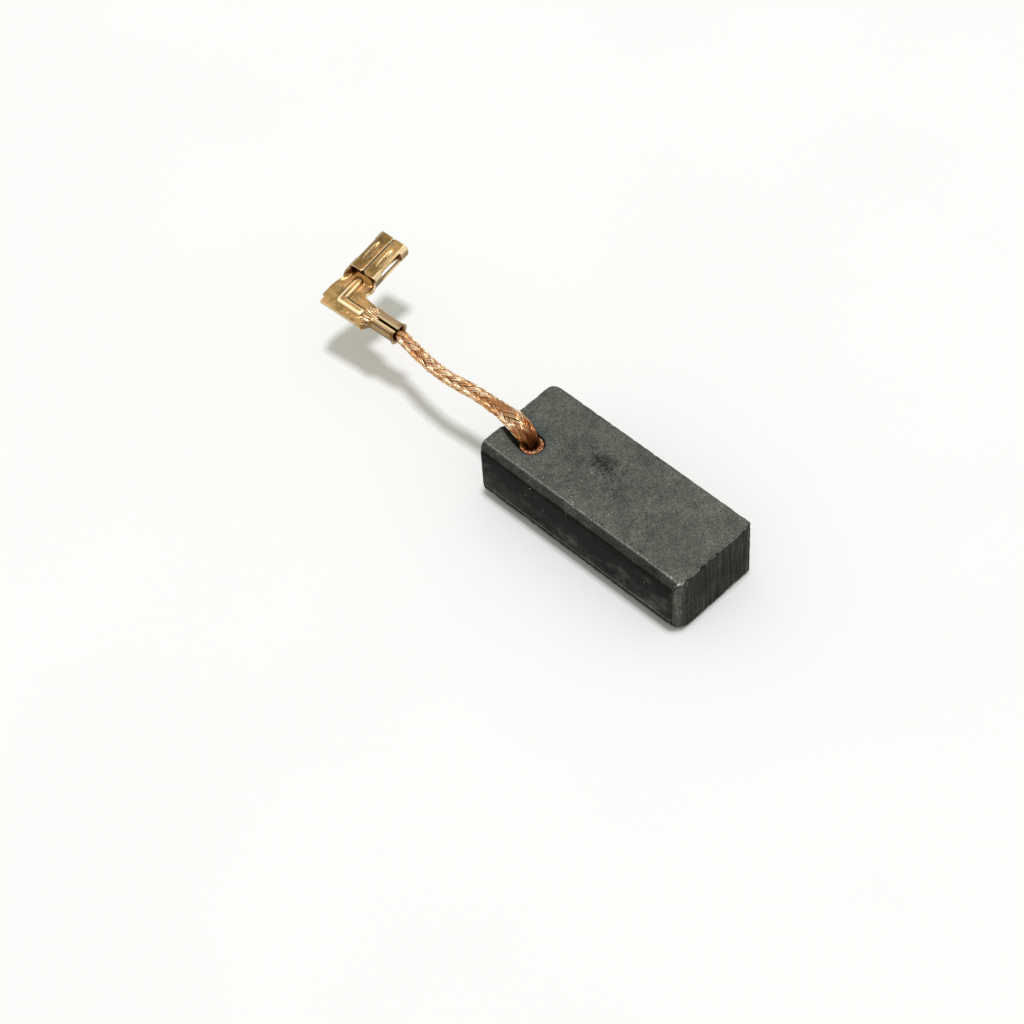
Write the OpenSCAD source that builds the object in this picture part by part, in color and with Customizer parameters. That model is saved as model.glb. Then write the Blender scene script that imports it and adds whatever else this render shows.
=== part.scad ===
// Carbon brush for a power tool motor: a pressed graphite block, a braided
// copper lead tamped into it, and a folded brass flag terminal on the lead.
// Millimetres. The block stands on Z = 0, centred on X and Y, and its contact
// face looks along +X. The lead leaves through the top, towards -X.

/* [Carbon block] */
// Length from the back to the contact face
block_len = 25.5; // [22:0.5:32]
// Width between the sides
block_w = 10.5; // [9.5:0.1:13]
// Height
block_h = 7.2; // [6.8:0.1:9]
// Chamfer on the top near edge, across the width
top_chamfer_in = 0.8; // [0.3:0.05:1]
// Chamfer on the top near edge, down the side
top_chamfer_down = 1.15; // [0.4:0.05:1.6]
// Chamfer on the bottom near edge, across the width
low_chamfer_in = 0.9; // [0.3:0.05:2]
// Chamfer on the bottom near edge, up the side
low_chamfer_up = 1.15; // [0.4:0.05:1.6]
// Facet on the contact face's near edge, along the length
facet_back = 0.85; // [0.3:0.05:2]
// Facet on the contact face's near edge, across the width
facet_in = 1.35; // [0.3:0.05:2]
// Radius of the back edge on the far side
back_far_r = 1.1; // [0.3:0.1:2]
// Radius of the back edge on the near side
back_near_r = 0.7; // [0.3:0.1:1.5]
// Radius of the front edge on the far side
front_far_r = 0.45; // [0.2:0.05:1.5]

/* [Lead hole] */
// Hole for the lead
hole_d = 2.6; // [2.4:0.1:3.2]
// Turn of the groove towards the far side
groove_turn = 8; // [0:1:15]
// Depth of the hole below the top
hole_depth = 5.6; // [4.8:0.1:6]
// Hole's centre from the back
hole_from_back = 3.8; // [3.4:0.1:5]
// Hole's centre from the near side
hole_from_near = 3.55; // [2.8:0.05:5]
// Depth at the back edge of the groove that the lead folds into
groove_back_depth = 0.4; // [0.2:0.05:0.8]
// How far the copper powder lies below the top
tamping_below = 0.3; // [0.1:0.05:0.8]

/* [Lead] */
// Diameter of the braid in its hole
lead_d = 1.6; // [1.2:0.1:1.8]

/* [Flag plate] */
// Thickness of the brass sheet
sheet_t = 0.3; // [0.2:0.02:0.34]
// Width of the arm that runs to the crimp
crimp_arm_w = 3.1; // [2.6:0.1:4]
// How much narrower that arm is at the crimp
crimp_arm_taper = 0.3; // [0:0.1:0.5]
// Width of the arm that runs to the receptacle
tab_arm_w = 3.3; // [2.8:0.1:4]
// Length of the plate before it narrows into the crimp
crimp_arm_len = 5.4; // [5:0.1:7]
// How far the ear on the outer edge stands out
ear_out = 0.3; // [0.1:0.05:0.6]
// Where the ear starts, from the outer corner
ear_from = 0.8; // [0.4:0.1:1.2]
// Straight length of the ear
ear_len = 1.6; // [1:0.1:2]
// Radius of the pressed rib
rib_r = 0.62; // [0.5:0.02:0.7]
// How far the rib stands above the plate
rib_up = 0.3; // [0.15:0.05:0.4]

/* [Receptacle] */
// Outside width
rec_w = 3.5; // [3.4:0.1:4.2]
// Outside height
rec_h = 1.6; // [1.5:0.05:2]
// Length of the rolled part
rec_len = 5.0; // [4.8:0.1:6.5]
// Length of the neck between the plate and the rolled part
neck_len = 1.5; // [1.2:0.1:2.5]
// Outside radius of the folds
rec_r = 0.5; // [0.4:0.05:0.6]
// Gap between the two rolled edges
seam_gap = 0.1; // [0.06:0.02:0.3]
// Outside radius of the edges where they curl in at the seam
curl_r = 0.4; // [0.35:0.05:0.5]
// Length of the cut that rounds off each end of the seam
seam_clip = 0.3; // [0.1:0.05:0.4]
// Length of the side windows
window_len = 3.0; // [2:0.1:3.4]
// Window's start, from the rear of the rolled part
window_from = 1.0; // [0.8:0.1:1.4]
// Height of the strip left under each window
strip_h = 0.35; // [0.3:0.05:0.5]
// Width of the base between its two openings
waist_w = 1.8; // [1.4:0.1:2.4]
// Radius of the openings' inner sides
waist_r = 4; // [3:0.5:8]
// How far the receptacle's centre lies from the middle of its arm
rec_shift = 0.15; // [0:0.05:0.3]
// Length of the pressed contact dimples
dimple_len = 2.6; // [1.5:0.1:3]
// Width of the pressed contact dimples
dimple_w = 0.5; // [0.3:0.05:0.6]
// Depth of the pressed contact dimples
dimple_deep = 0.2; // [0.1:0.05:0.25]

/* [Crimp] */
// Length of the barrel
barrel_len = 2.6; // [2.4:0.1:4]
// Length of the shoulder between the plate and the barrel
shoulder_len = 0.8; // [0.6:0.1:1.5]
// Outside radius of the barrel's floor
barrel_r = 1.05; // [0.95:0.05:1.3]
// How far the centres of the two wings' lobes stand above the floor's
lobe_up = 0.1; // [0.05:0.05:0.3]
// Gap between the two wings
wing_gap = 0.06; // [0.04:0.02:0.1]
// Width of the notch where the bell mouth is open
bell_notch = 0.7; // [0.4:0.1:1]
// Length of the bell mouth
bell_len = 0.3; // [0.2:0.05:0.6]
// How far the bell mouth flares
bell_flare = 0.15; // [0.1:0.05:0.3]

/* [Terminal's place] */
// Centre of the crimp's mouth
crimp_mouth = [-28.1, -0.55, 7.35];
// Turn of the terminal about X, Y and Z
terminal_turn = [6.5, 6, 6];

/* [Hidden] */
$fn = 48;
eps = 0.01;

graphite = "#3b3d3c";
copper = "#c98a63";
brass = "#c2a05a";

// Block: the hole's place in the part's frame
hole_x = hole_from_back - block_len / 2;
hole_y = hole_from_near - block_w / 2;
hole_floor = block_h - hole_depth;

// Groove: a round cutter of the hole's own size, which climbs towards the back
groove_rise = hole_d / 2 - groove_back_depth;
groove_tilt = atan2(groove_rise, hole_from_back);

// Terminal's own frame: the plate's outer corner is at 0, X runs to the lead,
// Y runs to the receptacle's mouth and the folds rise along +Z
barrel_x = crimp_arm_len + shoulder_len;
barrel_end = barrel_x + barrel_len;
mouth_x = barrel_end + bell_len;
barrel_y = (crimp_arm_w - crimp_arm_taper) / 2;
lobe_r = barrel_r / 2;
lobe_z = barrel_r + lobe_up;
barrel_in = barrel_r - sheet_t;
lobe_in = lobe_r - sheet_t;
tip_r = sheet_t / 2;
shoulder_x = crimp_arm_len - 0.3;
rec_x = tab_arm_w / 2 + rec_shift;
rec_y = crimp_arm_w + neck_len;
rec_end = rec_y + rec_len;
rib_z = sheet_t + rib_up - rib_r;
rib_in = rib_r - 0.8 * sheet_t;
rib_x = tab_arm_w / 2;
neck_start = crimp_arm_w + 0.3;
neck_high = 0.7 * rec_h;

// Lead: its route from the floor of the hole to the crimp. The fourth number is
// the braid's diameter there: it is flattened at the bend and drawn thin at the crimp
route_hole = [
    [hole_x, hole_y, hole_floor, lead_d],
    [hole_x, hole_y, block_h - 3.5, lead_d],
    [hole_x, hole_y, block_h - 1.6, lead_d]
];
route_free = [
    [-9.0, -1.7, 6.8, 1.6],
    [-9.35, -1.6, 7.6, 1.7],
    [-10.1, -1.55, 8.1, 1.8],
    [-11.2, -1.45, 8.35, 1.8],
    [-12.6, -1.25, 8.2, 1.7],
    [-14.4, -1.1, 7.95, 1.6],
    [-16.4, -1.1, 7.8, 1.5],
    [-18.4, -1.25, 7.7, 1.5],
    [-20.4, -1.45, 7.6, 1.4],
    [-22.4, -1.4, 7.55, 1.4],
    [-24.4, -1.2, 7.5, 1.4],
    [-26.2, -0.85, 7.4, 1.4],
    [-27.6, -0.65, 7.35, 1.4]
];
// The strands in the crimp: each stop's distance in from the mouth, the height of
// its centre over the plate's underside, and its half width and half height
crimp_floor = sheet_t + 0.02;
crush_h = (barrel_r - tip_r - crimp_floor) / 2 - 0.04;
crush_w = 0.6 * barrel_in;
crimp_stops = [
    [bell_len + 0.15, crimp_floor + crush_h, crush_w, crush_h],
    [bell_len + barrel_len, crimp_floor + crush_h, crush_w, crush_h],
    [bell_len + barrel_len + 0.5, crimp_floor + 0.36, crush_w + 0.1, 0.34],
    [bell_len + barrel_len + 1.5, crimp_floor + 0.32, 0.85, 0.3]
];

function unit(v) = v / norm(v);
function turn(v, a) = let (
        x = [v.x, v.y * cos(a.x) - v.z * sin(a.x), v.y * sin(a.x) + v.z * cos(a.x)],
        y = [x.x * cos(a.y) + x.z * sin(a.y), x.y, x.z * cos(a.y) - x.x * sin(a.y)]
    ) [y.x * cos(a.z) - y.y * sin(a.z), y.x * sin(a.z) + y.y * cos(a.z), y.z];
// A point of the terminal's frame in the part's frame
function on_terminal(p) =
    crimp_mouth + turn(p - [mouth_x, barrel_y, barrel_r], terminal_turn);

route_round = concat(route_hole, route_free);
route = concat(
    [for (p = route_round) [p[0], p[1], p[2]]],
    [for (s = crimp_stops) on_terminal([mouth_x - s[0], barrel_y, s[1]])]
);
half_sizes = concat(
    [for (p = route_round) [p[3], p[3]] / 2],
    [for (s = crimp_stops) [s[2], s[3]]]
);
last = len(route) - 1;
sides = 8;

function tangent(i) = unit(route[min(i + 1, last)] - route[max(i - 1, 0)]);
// The ring's width lies level across the route, and its height square to both
function across(i) = let (t = tangent(i)) unit([0, 1, 0] - t.y * t);
function ring(i) = let (w = across(i), h = cross(tangent(i), w)) [
    for (k = [0 : sides - 1])
        route[i] + half_sizes[i][0] * cos(360 * k / sides) * w
                 + half_sizes[i][1] * sin(360 * k / sides) * h
];

// One inside corner to cut away, so that the corner at 0 becomes round
module corner_cut(r) {
    difference() {
        translate([-1, -1]) square(r + 1);
        translate([r, r]) circle(r);
    }
}

module rounded_rect(w, h, r) {
    translate([r - w / 2, -h / 2]) square([w - 2 * r, h]);
    translate([-w / 2, r - h / 2]) square([w, h - 2 * r]);
    for (x = [-1, 1], y = [-1, 1])
        translate([x * (w / 2 - r), y * (h / 2 - r)]) circle(r);
}

module block_plan() {
    difference() {
        translate([-block_len / 2, -block_w / 2]) square([block_len, block_w]);
        translate([-block_len / 2, -block_w / 2]) corner_cut(back_near_r);
        translate([-block_len / 2, block_w / 2]) mirror([0, 1]) corner_cut(back_far_r);
        translate([block_len / 2, block_w / 2]) rotate(180) corner_cut(front_far_r);
        polygon([
            [block_len / 2 - facet_back, -block_w / 2 - eps],
            [block_len / 2 + eps, -block_w / 2 - eps],
            [block_len / 2 + eps, -block_w / 2 + facet_in]
        ]);
    }
}

module block_section() {
    polygon([
        [-block_w / 2 + low_chamfer_in, 0],
        [block_w / 2, 0],
        [block_w / 2, block_h],
        [-block_w / 2 + top_chamfer_in, block_h],
        [-block_w / 2, block_h - top_chamfer_down],
        [-block_w / 2, low_chamfer_up]
    ]);
}

module lead_groove() {
    translate([hole_x, hole_y, block_h])
        rotate([0, groove_tilt - 90, -groove_turn])
            cylinder(d = hole_d, h = 2 * hole_from_back);
}

module carbon_block() {
    color(graphite)
        difference() {
            intersection() {
                linear_extrude(block_h) block_plan();
                rotate([90, 0, 90])
                    linear_extrude(block_len + 2, center = true) block_section();
            }
            translate([hole_x, hole_y, hole_floor])
                cylinder(d = hole_d, h = hole_depth + 1);
            lead_groove();
        }
}

// Copper powder rammed round the lead, which fills the hole
module tamping() {
    color(copper)
        difference() {
            translate([hole_x, hole_y, hole_floor])
                cylinder(d = hole_d, h = hole_depth - tamping_below);
            translate([hole_x, hole_y, hole_floor - 1])
                cylinder(d = lead_d, h = hole_depth + 2);
            lead_groove();
        }
}

// A tube swept along the route, with its ends closed
module shunt_lead() {
    points = [for (i = [0 : last]) each ring(i)];
    walls = [
        for (i = [0 : last - 1], k = [0 : sides - 1])
            let (a = i * sides + k, b = i * sides + (k + 1) % sides)
                each [[a, b, b + sides], [a, b + sides, a + sides]]
    ];
    start = [for (k = [sides - 1 : -1 : 0]) k];
    end = [for (k = [0 : sides - 1]) last * sides + k];
    color(copper) polyhedron(points, concat(walls, [start, end]));
}

module plate_outline() {
    polygon([
        [0, 0],
        [crimp_arm_len, 0],
        [barrel_x, barrel_y - barrel_in],
        [barrel_x, barrel_y + barrel_in],
        [shoulder_x, crimp_arm_w - crimp_arm_taper],
        [tab_arm_w, crimp_arm_w],
        [tab_arm_w, neck_start],
        [rec_x + rec_w / 2 - rec_r, rec_y],
        [rec_x - rec_w / 2 + rec_r, rec_y],
        [0, ear_from + ear_len + 1.2],
        [-ear_out, ear_from + ear_len],
        [-ear_out, ear_from],
        [0, ear_from]
    ]);
}

// The L-shaped rib, as a bar of radius r with round ends and a round corner
module rib(r) {
    crimp_leg = crimp_arm_len - 1.4 - rib_x;
    tab_leg = rec_y - 0.4 - barrel_y;
    translate([rib_x, barrel_y, rib_z]) {
        rotate([0, 90, 0]) cylinder(r = r, h = crimp_leg);
        rotate([-90, 0, 0]) cylinder(r = r, h = tab_leg);
        sphere(r);
        translate([crimp_leg, 0, 0]) sphere(r);
        translate([0, tab_leg, 0]) sphere(r);
    }
}

module plate() {
    difference() {
        union() {
            linear_extrude(sheet_t) plate_outline();
            intersection() {
                rib(rib_r);
                cube([barrel_x, rec_y, rec_h]);
            }
        }
        rib(rib_in);
    }
}

// The receptacle's rolled section, seen from its mouth, on the plate's underside
module rolled_section() {
    curl_z = rec_h - curl_r;
    difference() {
        translate([0, rec_h / 2]) rounded_rect(rec_w, rec_h, rec_r);
        translate([0, rec_h / 2])
            rounded_rect(rec_w - 2 * sheet_t, rec_h - 2 * sheet_t, rec_r - sheet_t);
        translate([-curl_r - seam_gap / 2, curl_z])
            square([2 * curl_r + seam_gap, curl_r + 1]);
    }
    for (s = [-1, 1])
        translate([s * (curl_r + seam_gap / 2), curl_z])
            difference() {
                circle(curl_r);
                circle(curl_r - sheet_t);
                translate([s > 0 ? 0 : -2 * curl_r, -curl_r]) square(2 * curl_r);
                translate([-curl_r, -2 * curl_r]) square(2 * curl_r);
            }
}

// A long pointed dimple: a slim arc spun about its own chord
module spindle(length, width) {
    arc_r = (length * length + width * width) / (4 * width);
    rotate([-90, 0, 0])
        rotate_extrude()
            intersection() {
                translate([width / 2 - arc_r, 0]) circle(arc_r, $fn = 160);
                translate([0, -length]) square([width, 2 * length]);
            }
}

module receptacle() {
    window_y = rec_y + window_from;
    window_top = rec_h - 0.35 * rec_r;
    dimple_x = (rec_w / 2 - rec_r + curl_r) / 2;
    dimple_z = rec_h + dimple_w / 2 - dimple_deep;
    dimple_wall = 0.8 * sheet_t;
    base_in = rec_w / 2 - rec_r + 0.1;
    difference() {
        union() {
            translate([0, rec_end, 0]) rotate([90, 0, 0]) linear_extrude(rec_len) rolled_section();
            // The inside of each contact dimple
            for (s = [-1, 1])
                intersection() {
                    translate([s * dimple_x, window_y + window_len / 2, dimple_z])
                        spindle(dimple_len + dimple_wall, dimple_w + 2 * dimple_wall);
                    translate([-rec_w / 2, rec_y, rec_h / 2])
                        cube([rec_w, rec_len, (rec_h - sheet_t) / 2]);
                }
        }
        for (s = [-1, 1]) {
            translate([s * dimple_x, window_y + window_len / 2, dimple_z])
                spindle(dimple_len, dimple_w);
            // Side window
            translate([s * rec_w / 2, window_y + window_len / 2, (strip_h + window_top) / 2])
                rotate([90, 0, 90])
                    linear_extrude(2.4 * sheet_t, center = true)
                        rounded_rect(window_len, window_top - strip_h, 0.2);
            // Waisted opening in the base, beside the window
            translate([0, 0, -eps])
                linear_extrude(sheet_t + 2 * eps)
                    intersection() {
                        translate([s * (waist_w / 2 + waist_r), window_y + window_len / 2])
                            circle(waist_r, $fn = 160);
                        translate([s > 0 ? 0 : -base_in, window_y])
                            square([base_in, window_len]);
                    }
        }
        // Corners of the curled edges, at the mouth and at the rear
        for (y = [rec_y, rec_end])
            translate([0, y, 2 * sheet_t])
                rotate([0, 0, 45])
                    translate([-seam_clip, -seam_clip, 0])
                        cube([2 * seam_clip, 2 * seam_clip, rec_h]);
    }
}

// Side lips that rise from the plate to the rolled part
module neck() {
    rise = atan2(neck_high, rec_y - neck_start);
    difference() {
        translate([0, rec_y, 0])
            rotate([90, 0, 0])
                linear_extrude(rec_y - neck_start)
                    difference() {
                        translate([0, rec_h / 2]) rounded_rect(rec_w, rec_h, rec_r);
                        translate([0, rec_h / 2])
                            rounded_rect(rec_w - 2 * sheet_t, rec_h - 2 * sheet_t, rec_r - sheet_t);
                    }
        translate([-rec_w, neck_start, 0])
            rotate([rise, 0, 0])
                translate([0, -1, 0]) cube([2 * rec_w, 2 * rec_y, 2 * rec_h]);
    }
}

// The crimp's section round its axis: a round floor under two rolled lobes
module crimp_outside() {
    intersection() {
        circle(barrel_r);
        translate([-barrel_r, -barrel_r]) square([2 * barrel_r, barrel_r + eps]);
    }
    translate([-barrel_r, 0]) square([2 * barrel_r, lobe_up]);
    for (s = [-1, 1]) translate([s * lobe_r, lobe_up]) circle(lobe_r);
}

module crimp_inside() {
    difference() {
        union() {
            intersection() {
                circle(barrel_in);
                translate([-barrel_r, -barrel_r]) square([2 * barrel_r, barrel_r + eps]);
            }
            for (s = [-1, 1]) {
                translate([s * lobe_r, lobe_up]) circle(lobe_in);
                translate([s * lobe_r - lobe_in, 0]) square([2 * lobe_in, lobe_up]);
            }
        }
        // The two wing tips that meet in the middle
        for (s = [-1, 1]) translate([s * tip_r, -eps]) circle(tip_r);
    }
    translate([-wing_gap / 2, -2 * tip_r]) square([wing_gap, 2 * barrel_r]);
}

module crimp() {
    rise = atan2(barrel_r, barrel_x - shoulder_x);
    translate([barrel_x, barrel_y, barrel_r])
        rotate([90, 0, 90])
            linear_extrude(barrel_len)
                difference() {
                    crimp_outside();
                    crimp_inside();
                }
    // Shoulder: the barrel's lower half, sloping down to the plate
    difference() {
        translate([shoulder_x, barrel_y, barrel_r])
            rotate([90, 0, 90])
                linear_extrude(barrel_x - shoulder_x)
                    difference() {
                        circle(barrel_r);
                        circle(barrel_in);
                    }
        translate([shoulder_x, 0, sheet_t])
            rotate([0, -rise, 0])
                translate([-1, -1, 0]) cube([4 * barrel_r, crimp_arm_w + 2, 4 * barrel_r]);
    }
    // Bell mouth, open at the seam
    difference() {
        translate([barrel_end, barrel_y, barrel_r])
            rotate([0, 90, 0])
                rotate_extrude()
                    polygon([
                        [barrel_in, 0],
                        [barrel_r, 0],
                        [barrel_r + bell_flare, bell_len],
                        [barrel_in + bell_flare, bell_len]
                    ]);
        translate([barrel_end - eps, barrel_y - bell_notch / 2, lobe_z])
            cube([bell_len + 2 * eps, bell_notch, 2 * barrel_r]);
    }
}

// One folded sheet: the flag plate, the receptacle and the crimp
module flag_terminal() {
    color(brass)
        translate(crimp_mouth)
            rotate(terminal_turn)
                translate([-mouth_x, -barrel_y, -barrel_r]) {
                    plate();
                    translate([rec_x, 0, 0]) {
                        receptacle();
                        neck();
                    }
                    crimp();
                }
}

carbon_block();
tamping();
shunt_lead();
flag_terminal();
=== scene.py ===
# %% [markdown]
# # A carbon brush
# This lesson dresses a small electrical part: a block of pressed graphite, the braided copper lead that is
# rammed into it, and the folded brass terminal on the lead's end. The solids and their sizes come from the
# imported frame, and each piece made here takes the place of one of its solids.

# %% Load the frame
import math
import bpy
import numpy as np
from mathutils import Euler, Matrix, Vector, noise


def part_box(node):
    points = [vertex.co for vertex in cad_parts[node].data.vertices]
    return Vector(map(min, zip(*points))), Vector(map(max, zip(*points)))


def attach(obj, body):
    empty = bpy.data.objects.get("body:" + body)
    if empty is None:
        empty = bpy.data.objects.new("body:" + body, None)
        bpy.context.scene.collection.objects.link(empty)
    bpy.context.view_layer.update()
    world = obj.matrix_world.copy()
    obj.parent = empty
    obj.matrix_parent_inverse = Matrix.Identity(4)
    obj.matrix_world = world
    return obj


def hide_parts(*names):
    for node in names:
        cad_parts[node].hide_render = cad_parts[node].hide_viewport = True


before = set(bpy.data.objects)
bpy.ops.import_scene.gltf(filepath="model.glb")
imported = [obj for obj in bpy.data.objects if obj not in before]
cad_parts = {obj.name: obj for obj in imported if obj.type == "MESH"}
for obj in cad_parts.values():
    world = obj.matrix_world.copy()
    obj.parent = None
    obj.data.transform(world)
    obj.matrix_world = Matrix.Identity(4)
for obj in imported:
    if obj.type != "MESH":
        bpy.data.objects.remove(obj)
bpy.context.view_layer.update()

MM = 0.001

# %% [markdown]
# ## Camera
# A long lens, well back, keeps the block's long edges almost parallel. The camera looks down at about 50
# degrees on the contact face and the chamfered side. It is rolled by a few degrees, as a tripod often is.

# %% Camera
LENS = 100
VIEW_AZIMUTH = math.radians(-42.4)
VIEW_ELEVATION = math.radians(52.1)
VIEW_ROLL = math.radians(-4.2)
VIEW_DISTANCE = 273.4 * MM
LOOK_AT = Vector((-8.76, -5.03, 0)) * MM
back = Vector((
    math.cos(VIEW_ELEVATION) * math.cos(VIEW_AZIMUTH),
    math.cos(VIEW_ELEVATION) * math.sin(VIEW_AZIMUTH),
    math.sin(VIEW_ELEVATION),
))
turn = back.to_track_quat("Z", "Y") @ Euler((0, 0, VIEW_ROLL)).to_quaternion()
bpy.ops.object.camera_add(location=LOOK_AT + VIEW_DISTANCE * back, rotation=turn.to_euler())
camera = bpy.context.object
camera.name = "camera"
camera.data.lens = LENS
camera.data.sensor_width = 36
camera.data.clip_start = 0.01
bpy.context.scene.camera = camera
print("camera at", [round(c, 4) for c in camera.location])

# %% [markdown]
# ## Small tools
# Everything is modelled with one unit for a millimetre, because operators that merge or cut don't like
# tiny numbers, and is scaled to metres at the end, in the mesh. These helpers are what each piece shares.

# %% Small tools
def start_clean():
    """Object mode and nothing selected, so that the next operator acts on a new primitive alone."""
    if bpy.context.mode != "OBJECT":
        bpy.ops.object.mode_set(mode="OBJECT")
    bpy.ops.object.select_all(action="DESELECT")


def named(name):
    piece = bpy.context.object
    piece.name = name
    piece.data.name = name
    return piece


def pick(piece):
    """This piece alone selected, and active."""
    start_clean()
    piece.select_set(True)
    bpy.context.view_layer.objects.active = piece


def edit(piece):
    """Edit mode, with everything selected."""
    pick(piece)
    bpy.ops.object.mode_set(mode="EDIT")
    bpy.ops.mesh.select_all(action="SELECT")


def settle(piece):
    """Puts the object's place, turn and size into its mesh."""
    pick(piece)
    bpy.ops.object.transform_apply(location=True, rotation=True, scale=True)


def modify(piece, kind, **settings):
    """Adds a modifier with these settings and applies it."""
    pick(piece)
    modifier = piece.modifiers.new(kind.lower(), kind)
    for key, value in settings.items():
        setattr(modifier, key, value)
    bpy.ops.object.modifier_apply(modifier=modifier.name)


def cut_with(piece, cutter, operation="DIFFERENCE"):
    modify(piece, "BOOLEAN", operation=operation, object=cutter, solver="EXACT")
    bpy.data.objects.remove(cutter)


def select_edges(piece, test):
    """In edit mode, selects the edges whose two ends both pass the test."""
    bpy.ops.mesh.select_mode(type="EDGE")
    bpy.ops.mesh.select_all(action="DESELECT")
    bpy.ops.object.mode_set(mode="OBJECT")
    points = piece.data.vertices
    for edge in piece.data.edges:
        edge.select = all(test(points[i].co) for i in edge.vertices)
    bpy.ops.object.mode_set(mode="EDIT")


def shave(point, normal):
    """In edit mode, cuts off all that lies beyond the plane, and closes the cut."""
    bpy.ops.mesh.select_all(action="SELECT")
    bpy.ops.mesh.bisect(plane_co=point, plane_no=normal, use_fill=True, clear_outer=True)


def to_metres(piece, place=Matrix()):
    """Moves the mesh to its place, in millimetres, and then scales it to metres."""
    piece.data.transform(Matrix.Scale(MM, 4) @ place)
    piece.data.update()


def capped(values):
    """The same numbers, kept between 0 and 1."""
    return np.clip(values, 0, 1)


def rows_of(items, name, width, kind=float):
    """What a mesh says of its points or edges, one row for each."""
    values = np.empty(len(items) * width, kind)
    items.foreach_get(name, values)
    return values.reshape(-1, width)


def step(low, high, x):
    """0 below low, 1 above high, and a smooth rise between them."""
    t = min(max((x - low) / (high - low), 0), 1)
    return t * t * (3 - 2 * t)


def report(piece):
    size = np.ptp(rows_of(piece.data.vertices, "co", 3), axis=0) / MM
    print(piece.name, "faces", len(piece.data.polygons), "size in mm", size.round(2).tolist())


# %% [markdown]
# ## Sizes
# The block's size is read from the frame. The rest are the sizes that the solids were drawn with: the
# hole and its groove, and the terminal's sheet, barrel, place and turn. All are in millimetres.

# %% Sizes
block_low, block_high = [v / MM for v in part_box("carbon_block")]
block_size = block_high - block_low
HOLE_D = 2.6
HOLE_DEPTH = 5.6
HOLE_IN = 3.8
HOLE = Vector((block_low.x + HOLE_IN, block_low.y + 3.55, 0))
GROOVE_DEPTH = 0.4
GROOVE_TURN = math.radians(8)

SHEET = 0.3
MOUTH_X = 9.1
BARREL_Y = 1.4
BARREL_R = 1.05
BARREL_LEN = 2.6
TERMINAL_TURN = Euler([math.radians(a) for a in (6.5, 6, 6)])
CRIMP_MOUTH = Vector((-28.1, -0.55, 7.35))
ON_TERMINAL = (
    Matrix.Translation(CRIMP_MOUTH)
    @ TERMINAL_TURN.to_matrix().to_4x4()
    @ Matrix.Translation((-MOUTH_X, -BARREL_Y, -BARREL_R))
)
print("block in mm:", [round(c, 2) for c in block_size])

# %% [markdown]
# ## The lead's route
# The lead stands in its hole, folds over the back of the block and runs to the crimp. A smooth curve
# through listed points gives its line, and two directions carried along it, level and upright, tell
# where "side" and "up" are at each step. The fourth number at each point is the braid's width there.

# %% The lead's route
ROUTE = [
    (HOLE.x, HOLE.y, 1.6, 1.6),
    (HOLE.x, HOLE.y, 3.7, 1.6),
    (HOLE.x, HOLE.y, 5.6, 1.6),
    (-9.0, -1.7, 6.8, 1.6),
    (-9.35, -1.6, 7.6, 1.7),
    (-10.1, -1.55, 8.1, 1.8),
    (-11.2, -1.45, 8.35, 1.8),
    (-12.6, -1.25, 8.2, 1.7),
    (-14.4, -1.1, 7.95, 1.6),
    (-16.4, -1.1, 7.8, 1.5),
    (-18.4, -1.25, 7.7, 1.5),
    (-20.4, -1.45, 7.6, 1.4),
    (-22.4, -1.4, 7.55, 1.4),
    (-24.4, -1.2, 7.5, 1.4),
    (-26.2, -0.85, 7.4, 1.4),
    (-27.6, -0.65, 7.35, 1.4),
]
# In the crimp: distance in from the mouth, height over the plate's underside, half width, half height
CRIMPED = [
    (0.45, 0.57, 0.45, 0.25),
    (2.9, 0.57, 0.45, 0.25),
    (3.4, 0.68, 0.55, 0.34),
    (4.4, 0.64, 0.85, 0.3),
]
LEAD_STEP = 0.15


def smooth_line(points, spacing):
    """A Catmull-Rom curve through rows of numbers, sampled at even spacing."""
    rows = np.array(points, float)
    rows = np.vstack([2 * rows[0] - rows[1], rows, 2 * rows[-1] - rows[-2]])
    fine = []
    for i in range(1, len(rows) - 2):
        a, b, c, d = rows[i - 1:i + 3]
        for t in np.linspace(0, 1, 40, endpoint=False):
            fine.append(0.5 * (2 * b + (c - a) * t + (2 * a - 5 * b + 4 * c - d) * t ** 2
                               + (3 * b - a - 3 * c + d) * t ** 3))
    fine = np.array(fine + [rows[-2]])
    along = np.concatenate([[0], np.cumsum(np.linalg.norm(np.diff(fine[:, :3], axis=0), axis=1))])
    stops = np.linspace(0, along[-1], int(along[-1] / spacing) + 1)
    return np.array([[np.interp(s, along, fine[:, k]) for k in range(fine.shape[1])] for s in stops]), stops


route = [(x, y, z, w / 2, w / 2) for x, y, z, w in ROUTE]
for inside, height, half_w, half_h in CRIMPED:
    x, y, z = ON_TERMINAL @ Vector((MOUTH_X - inside, BARREL_Y, height))
    route.append((x, y, z, half_w, half_h))
lead_line, lead_along = smooth_line(route, LEAD_STEP)
tangents = np.gradient(lead_line[:, :3], axis=0)
tangents /= np.linalg.norm(tangents, axis=1)[:, None]
sideways = np.array([0, 1.0, 0]) - tangents * tangents[:, 1:2]
sideways /= np.linalg.norm(sideways, axis=1)[:, None]
upwards = np.cross(sideways, tangents)
print("lead:", round(lead_along[-1], 1), "mm in", len(lead_line), "steps")

# %% [markdown]
# ## The braid
# A brush lead is a tube of hair-thin bare copper wires, plaited from 16 ribbons of six. Eight ribbons wind
# one way, eight the other, and each passes over two and under two. A picture of a weave on a smooth tube
# would look printed on, so every wire is really wound here: its angle grows with the distance along the
# lead, and its height goes up and down with the ribbons that it crosses. The tube is a little wider where
# it folds over the block, and a few wires stand off it in the open. In the crimp the plait opens, and the
# loose ends fan out on the plate.

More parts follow.
